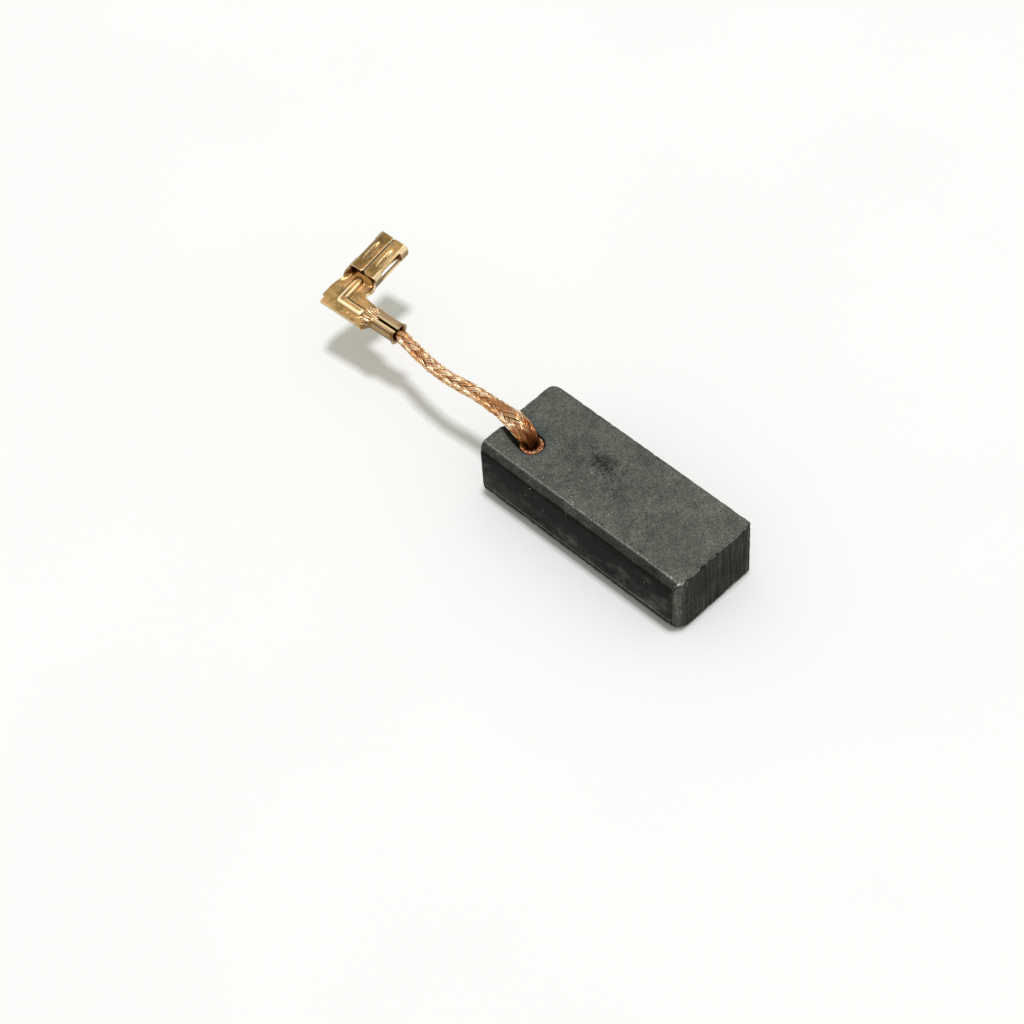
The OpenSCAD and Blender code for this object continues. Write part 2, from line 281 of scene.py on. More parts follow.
# %% Wires wound round the route
RIBBONS = 8
WIRES = 6
WIRE_R = 0.043
WIRE_SIDES = 4
LAY = 10.0
WEAVE = 0.085
PLAIT_OPENS = 1.75
FOLD_AT = 7.6
CLEAR_Z = 7.2
rng = np.random.default_rng(11)
steps = len(lead_line)
inside_crimp = lead_along[-1] - lead_along
opened = capped((PLAIT_OPENS - inside_crimp) / 1.2) ** 1.5
lay_here = LAY * np.clip(lead_line[:, 3] / 0.75, 0.75, 1.3)
turns = np.concatenate([[0], np.cumsum(np.diff(lead_along) / lay_here[1:] * (1 - 0.85 * opened[1:]))])


def slow_noise(count, spacing):
    """Smooth random numbers from -1 to 1 along the lead, one row for each wire."""
    knots = int(steps / spacing) + 3
    rows = rng.uniform(-1, 1, (count, knots))
    at = np.arange(steps) / spacing
    low = at.astype(int)
    t = (1 - np.cos(np.pi * (at - low))) / 2
    return rows[:, low] * (1 - t) + rows[:, low + 1] * t


def wound(direction):
    """Angle and height of each wire of the ribbons that wind this way."""
    ribbon = np.repeat(np.arange(RIBBONS), WIRES)[:, None]
    in_ribbon = (np.arange(WIRES) - (WIRES - 1) / 2) * 2 * math.pi / RIBBONS / (WIRES + 0.35)
    offset = np.tile(in_ribbon, RIBBONS)[:, None] * (1 + 0.5 * opened)
    angle = direction * 2 * math.pi * turns + 2 * math.pi * ribbon / RIBBONS + offset
    crossed = 2 * ribbon + direction * 2 * RIBBONS * turns + RIBBONS * offset / (2 * math.pi)
    height = direction * np.cos(math.pi / 2 * crossed - math.pi / 4)
    return angle, height


wire_angle, wire_height = np.concatenate([wound(1), wound(-1)], axis=1)
count = len(wire_angle)
wire_angle += 0.04 * slow_noise(count, 9) + 0.10 * np.repeat(slow_noise(2 * RIBBONS, 12), WIRES, axis=0)
wire_angle += opened * 0.9 * slow_noise(count, 5)
lift = capped(slow_noise(count, 11) - 0.88) * 1.2 * (lead_line[:, 2] > CLEAR_Z)
fill = 1 - opened * rng.uniform(0, 1, (count, 1)) * 0.85
squeeze = np.clip(lead_line[:, 4] / 0.7, 0.35, 1)
rise = WEAVE * squeeze * (wire_height - 1) + 0.02 * slow_noise(count, 6) + lift
folded_over = np.exp(-((lead_along - FOLD_AT) / 2.2) ** 2)
half_w = (lead_line[:, 3] * (1 + 0.2 * folded_over) - WIRE_R + rise) * fill
half_h = (lead_line[:, 4] - WIRE_R + rise) * fill
out = np.cos(wire_angle)[:, :, None] * sideways + np.sin(wire_angle)[:, :, None] * upwards
wires = (lead_line[:, :3] + (np.cos(wire_angle) * half_w)[:, :, None] * sideways
         + (np.sin(wire_angle) * half_h)[:, :, None] * upwards)
print("braid:", count, "wires of", steps, "steps")

# %% [markdown]
# A wire is swept as a tube with four sides, which is plenty for something thinner than a tenth of a
# millimetre. Each point keeps its height in the weave as an attribute, which the copper turns into painted
# shade on the ribbons that pass underneath and a painted highlight on the ones on top, and the lead is
# painted darker towards its foot in the hole, as shade. Each wire also keeps a painted sheen of its own. A
# plain tube inside, a darker copper that stands for the shaded inside of the plait, closes its gaps.

# %% Sweep the wires
def sweep(lines, outs, radius, sides):
    """Closed tubes along these lines: their points, one row a ring, and their faces."""
    along = np.gradient(lines, axis=1)
    along /= np.linalg.norm(along, axis=2)[:, :, None]
    across = np.cross(along, outs)
    across /= np.linalg.norm(across, axis=2)[:, :, None]
    outward = np.cross(across, along)
    turn = np.arange(sides) * 2 * math.pi / sides
    radius = np.broadcast_to(radius, lines.shape[:2])[:, :, None, None]
    rings = (lines[:, :, None] + radius * np.cos(turn)[:, None] * outward[:, :, None]
             + radius * np.sin(turn)[:, None] * across[:, :, None])
    tubes, length = lines.shape[:2]
    ring, side = np.meshgrid(np.arange(length - 1), np.arange(sides), indexing="ij")
    a = (ring * sides + side).ravel()
    b = (ring * sides + (side + 1) % sides).ravel()
    quads = np.stack([a, b, b + sides, a + sides], axis=1)
    faces = []
    for tube in range(tubes):
        start = tube * length * sides
        faces += (quads + start).tolist()
        faces.append(list(range(start + sides - 1, start - 1, -1)))
        faces.append(list(range(start + (length - 1) * sides, start + length * sides)))
    return rings.reshape(-1, 3), faces


def mesh_piece(name, points, faces):
    mesh = bpy.data.meshes.new(name)
    mesh.from_pydata(points.tolist(), [], faces)
    mesh.update()
    piece = bpy.data.objects.new(name, mesh)
    bpy.context.collection.objects.link(piece)
    return piece


def store(piece, name, values):
    """One number for each vertex, for the material to read."""
    attribute = piece.data.attributes.new(name, "FLOAT", "POINT")
    attribute.data.foreach_set("value", np.asarray(values, "f").ravel())


bodies = []
faces = []
weave_shade_and_highlight = []
sheen_here = []


def add_tubes(lines, outs, radius, sides, height, shade):
    points, new_faces = sweep(lines, outs, radius, sides)
    start = sum(len(b) for b in bodies)
    bodies.append(points)
    faces.extend([[i + start for i in face] for face in new_faces])
    weave_shade_and_highlight.append(np.repeat(np.broadcast_to(height, lines.shape[:2]).ravel(), sides))
    sheen_here.append(np.repeat(np.broadcast_to(shade, lines.shape[:2]).ravel(), sides))


# Each ribbon, and each wire in it, gets a brightness that drifts along it: a painted sheen for ribbons
# turned towards or away from the light.
ribbon_sheen = 0.55 + 0.5 * np.repeat(slow_noise(2 * RIBBONS, 8), WIRES, axis=0)
ribbon_sheen = capped(ribbon_sheen + rng.uniform(-0.45, 0.45, (count, 1)))
# Darker towards the lead's foot in the hole: painted shade. With the weave height it places each point on
# the copper's ramp of painted shade and highlight.
foot_shade = np.clip((lead_along - 5.7) / 2.4, 0.08, 1)
ends = steps - rng.integers(0, int(1.1 / LEAD_STEP), count)
for last in sorted(set(ends)):
    group = ends == last
    seen = (wire_height[group, :last] + 1) / 2 * foot_shade[:last]
    add_tubes(wires[group, :last], out[group, :last], WIRE_R, WIRE_SIDES, seen, ribbon_sheen[group, :last])
wire_faces = len(faces)
CORE_SIDES = 10
CORE_END = -6
core = lead_line[:CORE_END]
core_r = np.minimum(core[:, 3], core[:, 4]) - 2 * WEAVE * squeeze[:CORE_END] + 0.02
core_r = np.clip(core_r, 0.12, 1) * (1 - 0.5 * opened[:CORE_END])
add_tubes(core[None, :, :3], upwards[None, :CORE_END], core_r[None], CORE_SIDES, 0.0, 0.0)
print("wires:", wire_faces, "faces")

# %% [markdown]
# The plait ends just behind the barrel in a little brush of cut ends. They get a second set of short wires
# that lean every way, so that the fan is thick and untidy.

# %% The frayed end
TAIL = 170
STRAY = 16
TAIL_WIRE_R = 0.052
# Place across and up, length and lean: for the stray wires, and for the rest
STRAY_RANGES = [(-0.95, -0.55), (0.75, 1.0), (0.5, 1.2), (-0.25, 0.1)]
FAN_RANGES = [(-0.55, 0.55), (0.4, 1.3), (0.7, 1.7), (-0.32, 0.28)]


def frayed():
    """Short wires that leave the barrel and fan out on the plate. The stray ones lie on the near side."""
    lines = []
    outs = []
    for index in range(TAIL):
        ranges = STRAY_RANGES if index < STRAY else FAN_RANGES
        y, z, length, lean_y = [rng.uniform(*ends) for ends in ranges]
        if index >= STRAY:
            lean_y += y * 0.8
        lean_z = (z - 0.8) * 0.25 + rng.uniform(-0.3, 0.15)
        curl = rng.uniform(-0.5, 0.5)
        row = []
        for t in np.linspace(0, 1, 9):
            x = MOUTH_X - BARREL_LEN - t * length
            across = BARREL_Y + y + lean_y * t ** 1.3 + curl * math.sin(math.pi * t) * 0.3
            up = z + lean_z * t ** 1.4 + 0.05 * math.sin(5 * t + 9 * curl)
            row.append(ON_TERMINAL @ Vector((x, across, max(up, SHEET + 0.06 + 0.1 * abs(curl)))))
        lines.append(row)
        outs.append([TERMINAL_TURN.to_matrix() @ Vector((0, 0.2, 1))] * 9)
    return np.array(lines), np.array(outs)


tail, tail_out = frayed()
# The cut ends take places on the same ramp of painted shade and highlight, the stray ones low on it and
# dark, and each end gets a painted sheen.
tail_height = np.where(np.arange(TAIL)[:, None] < STRAY, 0.15, rng.uniform(0.6, 1, (TAIL, 1)))
add_tubes(tail, tail_out, TAIL_WIRE_R, WIRE_SIDES, tail_height, rng.uniform(0.55, 1, (TAIL, 1)))
lead = mesh_piece("lead", np.concatenate(bodies), faces)
store(lead, "height", np.concatenate(weave_shade_and_highlight))
store(lead, "shade", np.concatenate(sheen_here))
lead.data.polygons.foreach_set("use_smooth", [True] * len(faces))
to_metres(lead)
report(lead)

# %% [markdown]
# ## The flag terminal
# The real one is stamped flat from brass sheet, pressed, and folded, so it is made here the same way. A
# fine grid is cut to the flat blank's outline, and its openings are punched out. Then the rib and the two
# contact dimples are pressed in, and at last each point is carried round the folds. A sheet that is folded
# point by point keeps its thickness, and its bends run smoothly into the plate.

# %% Outline cutter
def cutter_of(corners):
    """A straight-sided cutter with this outline, from a circle with its corners moved."""
    start_clean()
    bpy.ops.mesh.primitive_circle_add(vertices=len(corners), fill_type="NGON", location=(0, 0, -1))
    cutter = named("cutter")
    turned = sum(a[0] * b[1] - b[0] * a[1] for a, b in zip(corners, corners[1:] + corners[:1]))
    ordered = corners if turned > 0 else corners[::-1]
    settle(cutter)
    for vertex, (x, y) in zip(cutter.data.vertices, ordered):
        vertex.co = (x, y, -1)
    edit(cutter)
    bpy.ops.mesh.extrude_region_move(TRANSFORM_OT_translate={"value": (0, 0, 2)})
    bpy.ops.mesh.select_all(action="SELECT")
    bpy.ops.mesh.normals_make_consistent()
    start_clean()
    return cutter


def arc(centre, radius, start, end, count):
    """Points on an arc, from one angle in degrees to the other."""
    angles = [math.radians(start + (end - start) * i / count) for i in range(count + 1)]
    return [(centre[0] + radius * math.cos(a), centre[1] + radius * math.sin(a)) for a in angles]


# %% [markdown]
# These are the widths of the flat sheet, measured along the folds: half the receptacle, from its middle
# round two corners to the curl at the seam, and half the crimp, from its middle to the tip of a wing.

# %% Flat widths
REC_X = 1.8
REC_Y = 4.6
REC_END = 9.6
REC_FOLDS = [(1.25, 0), (0.55, 90), (0.6, 0), (0.55, 90), (0.91, 0), (0.26, 14)]
CRIMP_FOLDS = [(1.414, 90), (0.1, 0), (1.13, 180), (0.15, 0)]
REC_HALF = sum(length for length, _ in REC_FOLDS)
CRIMP_HALF = sum(length for length, _ in CRIMP_FOLDS)
CLIP = 0.22
CLIP_MOUTH = 0.14
TAB = 0.3


def wing_edge(side):
    """The blank's edge beside the crimp, from the plate to the mouth, on one side of its middle."""
    near_shoulder = [(4.9, 1.4), (5.35, 1.5), (5.7, 1.58), (5.92, 1.74), (6.1, 2.15)]
    far_shoulder = [(5.25, 1.4), (5.6, 1.52), (6.0, 1.8), (6.15, 2.05)]
    wing = [(6.23, 2.4), (6.22, CRIMP_HALF - 0.25), (6.3, CRIMP_HALF - 0.08), (6.45, CRIMP_HALF),
            (8.75, CRIMP_HALF), (8.86, CRIMP_HALF - 0.15), (8.9, 2.05), (MOUTH_X, 1.9)]
    return [(x, BARREL_Y + side * y) for x, y in (near_shoulder if side < 0 else far_shoulder) + wing]


def receptacle_edge(side):
    """The blank's edge along one half of the receptacle, from its rear to its mouth."""
    rear = [(2.42, REC_Y - 0.02), (2.5, REC_Y + 0.02), (REC_HALF - CLIP, REC_Y + 0.02)]
    seam = [(REC_HALF, REC_Y + CLIP), (REC_HALF, 8.8)]
    mouth = [(REC_HALF + 0.04, REC_END - CLIP_MOUTH), (REC_HALF - CLIP_MOUTH, REC_END)]
    return [(REC_X + side * x, y) for x, y in rear + seam + mouth]


neck_inside = [(3.5, 3.05), (3.3, 3.25), (REC_X + 1.6, 3.6)]
neck_outside = [(0, 3.6), (-TAB, 2.4), (-TAB, 0.8), (0, 0.75)]
outline = ([(0, 0)] + wing_edge(-1) + wing_edge(1)[::-1] + neck_inside
           + receptacle_edge(1) + receptacle_edge(-1)[::-1] + neck_outside)
print("blank: half widths in mm", round(REC_HALF, 2), round(CRIMP_HALF, 2))

# %% [markdown]
# The grid has a point about every 0.09 mm, enough for smooth folds. Each of the receptacle's walls gets a
# window, and its base gets a waist, which is what two large arcs leave standing between them.

# %% Cut the blank
GRID_MIDDLE = (3.41, 4.13, 0)
GRID_SIZE = (11.7, 11.3, 1)
start_clean()
bpy.ops.mesh.primitive_grid_add(x_subdivisions=130, y_subdivisions=126, size=1, location=GRID_MIDDLE)
terminal = named("terminal")
terminal.scale = GRID_SIZE
settle(terminal)
modify(terminal, "SOLIDIFY", thickness=SHEET, offset=0)
cut_with(terminal, cutter_of(outline), "INTERSECT")

REC_MIDDLE = 7.1
WINDOW_HALF = 1.5
WINDOW_ROUND = 0.2
WAIST_R = 4
WAIST_HALF = 1.47
WAIST_OUT = 1.33
spread = math.degrees(math.asin(WAIST_HALF / WAIST_R))
for side in (-1, 1):
    near, far = REC_X + side * 1.65, REC_X + side * 2.75
    left, right = min(near, far) + WINDOW_ROUND, max(near, far) - WINDOW_ROUND
    low, high = REC_MIDDLE - WINDOW_HALF + WINDOW_ROUND, REC_MIDDLE + WINDOW_HALF - WINDOW_ROUND
    window = []
    for x, y, start in ((left, low, 180), (right, low, 270), (right, high, 0), (left, high, 90)):
        window += arc((x, y), WINDOW_ROUND, start, start + 90, 4)
    cut_with(terminal, cutter_of(window))
    start, end = (180 - spread, 180 + spread) if side > 0 else (spread, -spread)
    waist = arc((REC_X + side * (WAIST_R + 0.9), REC_MIDDLE), WAIST_R, start, end, 16)
    waist += [(REC_X + side * WAIST_OUT, waist[-1][1]), (REC_X + side * WAIST_OUT, waist[0][1])]
    cut_with(terminal, cutter_of(waist))
edit(terminal)
bpy.ops.mesh.remove_doubles(threshold=0.02)
start_clean()
modify(terminal, "BEVEL", width=0.03, segments=2, limit_method="ANGLE", angle_limit=math.radians(50),
       use_clamp_overlap=False)
print("blank:", len(terminal.data.vertices), "points")

# %% [markdown]
# The rib is an L with a round top. The dimples press the receptacle's two top walls down onto the blade.
# Both are shifts square to the sheet, the same on both faces, so that the back shows the hollow. From here
# on, p and q are a point's two measures on the flat sheet.

# %% Press
RIB_CORNER = (1.65, BARREL_Y)
RIB_ENDS = [(4.05, BARREL_Y), (1.65, 4.15)]
RIB_HEIGHT = 0.3
STOP_HEIGHT = 0.4
DIMPLE_X = 3.375
DIMPLE_HALF = 1.4
DIMPLE_DEPTH = 0.13


def off_line(x, y, a, b):
    """Distance from a point to the straight line between two others."""
    along = Vector((b[0] - a[0], b[1] - a[1]))
    t = max(0, min(1, ((x - a[0]) * along.x + (y - a[1]) * along.y) / along.length_squared))
    return math.hypot(x - a[0] - t * along.x, y - a[1] - t * along.y)


def off_rib(p, q):
    return min(off_line(p, q, RIB_CORNER, end) for end in RIB_ENDS)


def at_dimple(p, q):
    """1 in the middle of a dimple's length and 0 past its ends, and half widths off its ridge."""
    length = max(0, 1 - ((q - REC_MIDDLE) / DIMPLE_HALF) ** 2)
    return length, abs(abs(p - REC_X) - DIMPLE_X) / (0.08 + 0.13 * length)


def pressed(p, q):
    """How far the press moves the sheet here: up at the rib and the stop, in at the dimples."""
    rib = RIB_HEIGHT * (1 - step(0.25, 0.6, off_rib(p, q)))
    stop = STOP_HEIGHT * (1 - step(0.7, 1.5, abs(p - REC_X))) * step(4.1, 4.9, q) * (1 - step(5.2, 5.8, q))
    length, off_ridge = at_dimple(p, q)
    dimple = DIMPLE_DEPTH * length * max(0, 1 - off_ridge ** 2)
    pock = 0.04 * max(0, 1 - math.hypot(p - 3.2, q - 0.55) / 0.22)
    return max(rib, stop) + dimple - pock


# %% [markdown]
# The sheet is tinted orange where it was heated, and painted with light and shade: a painted highlight
# along its ridges, rims and the barrel's crowns, and painted shade in its seam, creases and shaded inner
# faces. All are drawn on the flat blank, and the folds carry them along. A table for each wing gives its
# darkness at each distance from the crimp's middle, painted shade and painted reflection in stripes across
# the barrel.

# %% Stains and bright spots
WING_END = 4.4
NEAR_LOBE = ([0.7, 1.0, 1.3, 1.45, 1.6, 1.78, 1.86, 1.98, 2.06, 2.12, 2.22, 2.34, 2.44, 2.6],
             [0.0, 0.5, 0.75, 0.6, 0.5, 0.5, 0.85, 0.85, 0.55, 0.4, 0.05, 0.0, 0.85, 0.95])
FAR_LOBE = ([0.7, 1.6, 1.75, 1.9, 2.05, 2.15, 2.25, 2.35, 2.45, 2.6],
            [0.0, 0.6, 0.5, 0.5, 0.6, 0.75, 0.55, 0.1, 0.85, 0.95])


def painted_shade_at(p, q, height):
    """How dark the sheet is painted here, from 0 to 1: painted shade in the seam, the crimp's valley, the
    neck's lips, under the receptacle and on its side walls, rear edges and inner faces, on the cut edges
    and at the barrel's shoulders and mouth, painted reflection in stripes across the wings, and a slight
    darkening of the outer face towards the rear.
    """
    if p > 5.8 and q < WING_END:
        lobe = np.interp(abs(q - BARREL_Y), *(NEAR_LOBE if q < BARREL_Y else FAR_LOBE))
        shoulder = 0.5 * step(0.9, 1.3, BARREL_Y - q)
        return max(shoulder + (lobe - shoulder) * step(5.8, 6.3, p), 0.6 * step(8.8, 8.95, p))
    if p > 4.8 and q < BARREL_Y:
        return 0.5 * step(4.8, 5.4, p) * step(0.9, 1.3, BARREL_Y - q)
    if min(q, p + (TAB if 0.78 < q < 2.45 else 0), REC_END - q) < 0.07:
        return 0.5
    across = abs(p - REC_X)
    if q > WING_END:
        seam = 0.9 * (1 - step(0.02, 0.1, REC_HALF - across))
        wall = 0.45 * step(1.55, 1.8, across) * (1 - step(2.4, 2.6, across))
        skin = 0.3 - 0.1 * step(5.5, 6.5, q) if height > 0.1 else 0.22 - 0.12 * step(5.5, 8.5, q)
        rear = 0.45 * (1 - step(REC_Y + 0.05, REC_Y + 0.2, q)) * step(1.2, 1.6, across)
        return max(seam, skin, wall, rear)
    if height > 0.1:
        lips = 0.35 * math.exp(-((q - 3.6) / 0.7) ** 2) * step(0.7, 1.4, across)
        return max(lips, 0.5 * step(3.95, WING_END, q))
    return 0


def painted_light_at(p, q, height):
    """Painted highlight, up to 1: on the barrel's crowns, the dimples' rims, the receptacle's upper corners
    and the rib's shoulders. Below 0 it is painted shade, on the inner faces from the neck into the
    receptacle.
    """
    if p > 5.9 and q < WING_END:
        place, width, strength = (2.27, 0.09, 1) if q < BARREL_Y else (2.34, 0.07, 0.6)
        crown = strength * math.exp(-((abs(q - BARREL_Y) - place) / width) ** 2)
        return crown * step(5.9, 6.4, p)
    if q > REC_Y + 0.1 and height < 0.05:
        length, off_ridge = at_dimple(p, q)
        rim = math.exp(-((off_ridge - 0.95) / 0.3) ** 2) * min(1, 4 * length)
        return max(math.exp(-((abs(p - REC_X) - 2.68) / 0.07) ** 2), 0.55 * rim)
    if height > 0.1 and q > 3.95:
        return -0.8
    if height > 0 and (p < 1.65 or q < BARREL_Y):
        return math.exp(-((off_rib(p, q) - 0.3) / 0.13) ** 2)
    return 0


def heat_tint(p, q, height):
    """How orange the sheet is here: behind the rib, on the receptacle's rear and on the wings."""
    return max(math.exp(-((p - 1.98) / 0.2) ** 2 - ((q - 3.3) / 0.8) ** 2),
               0.7 * math.exp(-((q - REC_Y) / 0.4) ** 2) * step(0.1, 0.2, height),
               0.55 * step(5.9, 6.4, p) * step(-WING_END, 0.1 - WING_END, -q))


# %% [markdown]
# A fold carries a point along a chain of straight and bent stretches. Its amount grows from nothing on the
# plate to the whole at the crimp and at the receptacle. The barrel flares a little at its mouth.

# %% Fold
def folded(across, height, folds, amount):
    """Carries a point round the folds: its place across the section and its height."""
    side = math.copysign(1, across)
    left = abs(across)
    x = 0
    z = 0
    heading = 0
    for length, degrees in folds:
        stretch = min(left, length)
        left -= stretch
        bend = math.radians(degrees) * amount * stretch / length
        if bend > 1e-6:
            radius = stretch / bend
            x += radius * (math.sin(heading + bend) - math.sin(heading))
            z += radius * (math.cos(heading) - math.cos(heading + bend))
            heading += bend
        else:
            x += stretch * math.cos(heading)
            z += stretch * math.sin(heading)
        if left <= 0:
            break
    x += left * math.cos(heading)
    z += left * math.sin(heading)
    return side * (x - height * math.sin(heading)), z + height * math.cos(heading)


painted_shade = []
painted_light = []
heated = []
for vertex in terminal.data.vertices:
    p, q, height = vertex.co
    height += pressed(p, q)
    painted_shade.append(painted_shade_at(p, q, height))
    painted_light.append(painted_light_at(p, q, height))
    heated.append(heat_tint(p, q, height))
    if p > 4.7 and q < WING_END:
        amount = step(5.3 if q < BARREL_Y else 4.9, 6.3, p)
        flare = 0.15 * step(8.75, MOUTH_X, p) * amount
        across, z = folded(q - BARREL_Y, height, CRIMP_FOLDS, amount)
        centre = BARREL_R - SHEET / 2
        away = math.hypot(across, z - centre) or 1
        across += flare * across / away
        z += flare * (z - centre) / away
        vertex.co = (p, BARREL_Y + across, z + SHEET / 2)
    elif q > 2.8:
        across, z = folded(p - REC_X, height, REC_FOLDS, step(3.0, REC_Y + 0.05, q))
        vertex.co = (REC_X + across, q, z + SHEET / 2)
    else:
        vertex.co = (p, q, height + SHEET / 2)
terminal.data.update()
pick(terminal)
bpy.ops.object.shade_smooth_by_angle(angle=math.radians(42))
print("terminal: folded", len(painted_shade), "points")

# %% [markdown]
# The brass gets a painted highlight where the folded sheet stands proud and painted shade in its creases.
# How much each point stands out from its neighbours is measured here and kept with the mesh, for the brass
# to read.

# %% Where the sheet stands proud
def proud(piece, rounds):
    """For each point, above 0 on ridges and below 0 in creases, averaged over this many rounds."""
    mesh = piece.data
    total = len(mesh.vertices)
    spots = rows_of(mesh.vertices, "co", 3)
    normals = rows_of(mesh.vertex_normals, "vector", 3)
    a, b = rows_of(mesh.edges, "vertices", 2, int).T
    reach = spots[b] - spots[a]
    length = np.maximum(np.linalg.norm(reach, axis=1), 1e-6)
    slope_a = -(reach * normals[a]).sum(axis=1) / length
    slope_b = (reach * normals[b]).sum(axis=1) / length
    joined = np.maximum(np.bincount(a, minlength=total) + np.bincount(b, minlength=total), 1)
    value = (np.bincount(a, slope_a, total) + np.bincount(b, slope_b, total)) / joined
    for _ in range(rounds):
        value = (value + (np.bincount(a, value[b], total) + np.bincount(b, value[a], total)) / joined) / 2
    return value


store(terminal, "proud", proud(terminal, 3) + 0.09 * np.array(painted_light))
store(terminal, "painted_shade", painted_shade)
store(terminal, "heated", heated)
to_metres(terminal, ON_TERMINAL)
report(terminal)

# %% [markdown]
# ## The graphite block
# The block is pressed and then sawn to length, so its long sides are smooth and its contact face is striped
# by the saw. It is cut from a box as on a bench: the corners are rounded, the chamfers and the facet are
# sawn off, and the hole and the groove for the lead are bored. Then the whole is remeshed into small even
# squares, which leave room for grain, saw marks and chipped edges.

# %% Saw and bore the block
start_clean()
bpy.ops.mesh.primitive_cube_add(size=1, location=(block_low + block_high) / 2)
block = named("block")
block.scale = block_size
settle(block)
X0, Y0, Z0 = block_low
X1, Y1, Z1 = block_high
for corner_x, corner_y, radius in ((X0, Y1, 1.1), (X0, Y0, 0.7), (X1, Y1, 0.45)):
    edit(block)
    select_edges(block, lambda co: abs(co.x - corner_x) < 0.01 and abs(co.y - corner_y) < 0.01)
    bpy.ops.mesh.bevel(offset=radius, offset_type="OFFSET", segments=10, affect="EDGES")
    start_clean()

CUTS = [
    ((0, Y0 + 0.8, Z1), (0, -1.15, 0.8)),
    ((0, Y0 + 0.9, Z0), (0, -1.15, -0.9)),
    ((X1 - 0.85, Y0, 0), (1.35, -0.85, 0)),
    ((X1, Y0 + 1.75, Z0), (0.75, -0.45, -0.5)),
]
edit(block)
for point, normal in CUTS:
    shave(point, normal)
start_clean()
bpy.ops.mesh.primitive_cylinder_add(vertices=72, radius=HOLE_D / 2, depth=HOLE_DEPTH + 1,
                                    location=(HOLE.x, HOLE.y, Z1 - HOLE_DEPTH + (HOLE_DEPTH + 1) / 2))
cut_with(block, bpy.context.object)

GROOVE_TILT = math.atan2(HOLE_D / 2 - GROOVE_DEPTH, HOLE_IN)
groove_turn = Euler((0, GROOVE_TILT - math.pi / 2, -GROOVE_TURN))


def groove_cutter(radius):
    """A rod along the groove, from the hole's middle out over the block's rear edge."""
    start_clean()
    middle = Vector((HOLE.x, HOLE.y, Z1)) + groove_turn.to_matrix() @ Vector((0, 0, HOLE_IN))
    bpy.ops.mesh.primitive_cylinder_add(vertices=72, radius=radius, depth=2 * HOLE_IN, location=middle,
                                        rotation=groove_turn)
    return bpy.context.object


cut_with(block, groove_cutter(HOLE_D / 2))
VOXEL = 0.125
modify(block, "REMESH", mode="VOXEL", voxel_size=VOXEL, use_smooth_shade=True)
print("block:", len(block.data.vertices), "points")

# %% [markdown]
# Each point's depth under each of the block's planes is measured first. The second smallest depth tells how
# far the point is from an edge. Near an edge, coarse noise breaks small chips out. On the contact face,
# stretched noise cuts the saw's grooves. All this only takes away.

# %% Saw marks and chips
points = rows_of(block.data.vertices, "co", 3)
normals = rows_of(block.data.vertex_normals, "vector", 3)
depths = [*(np.array(block_high) - points).T, *(points - np.array(block_low)).T]
for point, normal in CUTS:
    depths.append((np.array(point) - points) @ (np.array(normal) / np.linalg.norm(normal)))
to_front, to_far, to_top, _, to_near, _, to_upper, to_lower, to_facet, _ = depths
near_face, near_edge = np.sort(np.array(depths), axis=0)[:2]
outside = near_face < 0.2


def close_to(depth, reach, level=1):
    """1 on a plane and 0 away from it, for the points of the surface alone."""
    return capped(level - np.abs(depth) / reach) * outside


front = close_to(to_front, 0.25)
facet = close_to(to_facet, 0.2)
front_edge = capped(1 - to_front / 0.9) * capped(1.6 - to_top / 0.6)
at_x, at_y, at_z = points.T
hole_off = np.hypot(at_x - HOLE.x, at_y - HOLE.y)


def noises(scale, seed, detail=1):
    """Noise from -1 to 1 at each point of the block, finer with each octave of detail."""
    spots = (points * np.array(scale) + np.array([seed, 0, -seed])).tolist()
    return np.array([noise.fractal(spot, 0.7, 2.0, detail) for spot in spots])


saw = noises((0.05, 2.6, 0.10), 3.1, 3)
crumbs = noises((1.5, 1.5, 1.5), 8.7, 3)
chips = noises((0.75, 0.75, 0.75), 5.2, 2)
flaked = noises((0.9, 2.1, 1.4), 2.4, 2) - 0.02
cut = 0.09 * capped(saw + 0.2) * np.maximum(front, 0.6 * facet)
edge_in = capped(1 - near_edge / 0.38) * outside
cut += edge_in * (0.03 + 0.12 * capped(crumbs) + 0.25 * capped(chips - 0.28))
cut += edge_in * front_edge * 0.7 * np.clip(flaked, 0, 0.5)
cut += 0.012 * capped(noises((3.1, 3.1, 3.1), 1.9, 2))
moved = points - normals * cut[:, None]
moved = np.clip(moved, np.array(block_low), np.array(block_high))
block.data.vertices.foreach_set("co", moved.ravel())
block.data.update()
print("deepest cut in mm:", round(float(cut.max()), 2))

# %% [markdown]
# Wear, dirt and painted shade are worked out once for each point: a weight for the edges, which are
# lightened partly by rubbing and partly as painted highlight, a tone for the darker and lighter zones, a
# tint for the bluish copper bloom beside the hole, and a weight for the sawn faces. The tone holds real
# stains and specks and also painted shade: the chamfers, the sides, the sawn end, the far top edge and the
# chips are darker as shade, a band under the top chamfer and a strip above the floor are painted shade, and
# the bores are darkest, as shade.

# %% Wear, dirt and painted shade
top = close_to(to_top, 0.3)
near_side = close_to(to_near, 0.15, 1.6)
cut_top = close_to(to_upper, 0.12, 1.6)
cut_low = close_to(to_lower, 0.12, 1.6)
# Top edges are lightened, partly by real rubbing and partly as painted highlight.
edge_wear_and_highlight = capped(1 - near_edge / 0.16) ** 1.2 * outside
under_chamfer = (np.abs(to_upper) < 0.2) & (np.abs(to_near) < 0.2)
edge_wear_and_highlight[under_chamfer] *= 0.05
edge_wear_and_highlight *= np.where(to_top < 0.25, 1, 0.15)
corner_off = np.hypot(at_x - X1 + 0.5, at_y - Y0 - 1.2) + to_top
corner_speck_glints = (noises((4, 4, 4), 2.2) > 0.15) * outside
edge_wear_and_highlight += capped(1.9 - corner_off) * capped(1 - near_edge / 0.3) * corner_speck_glints
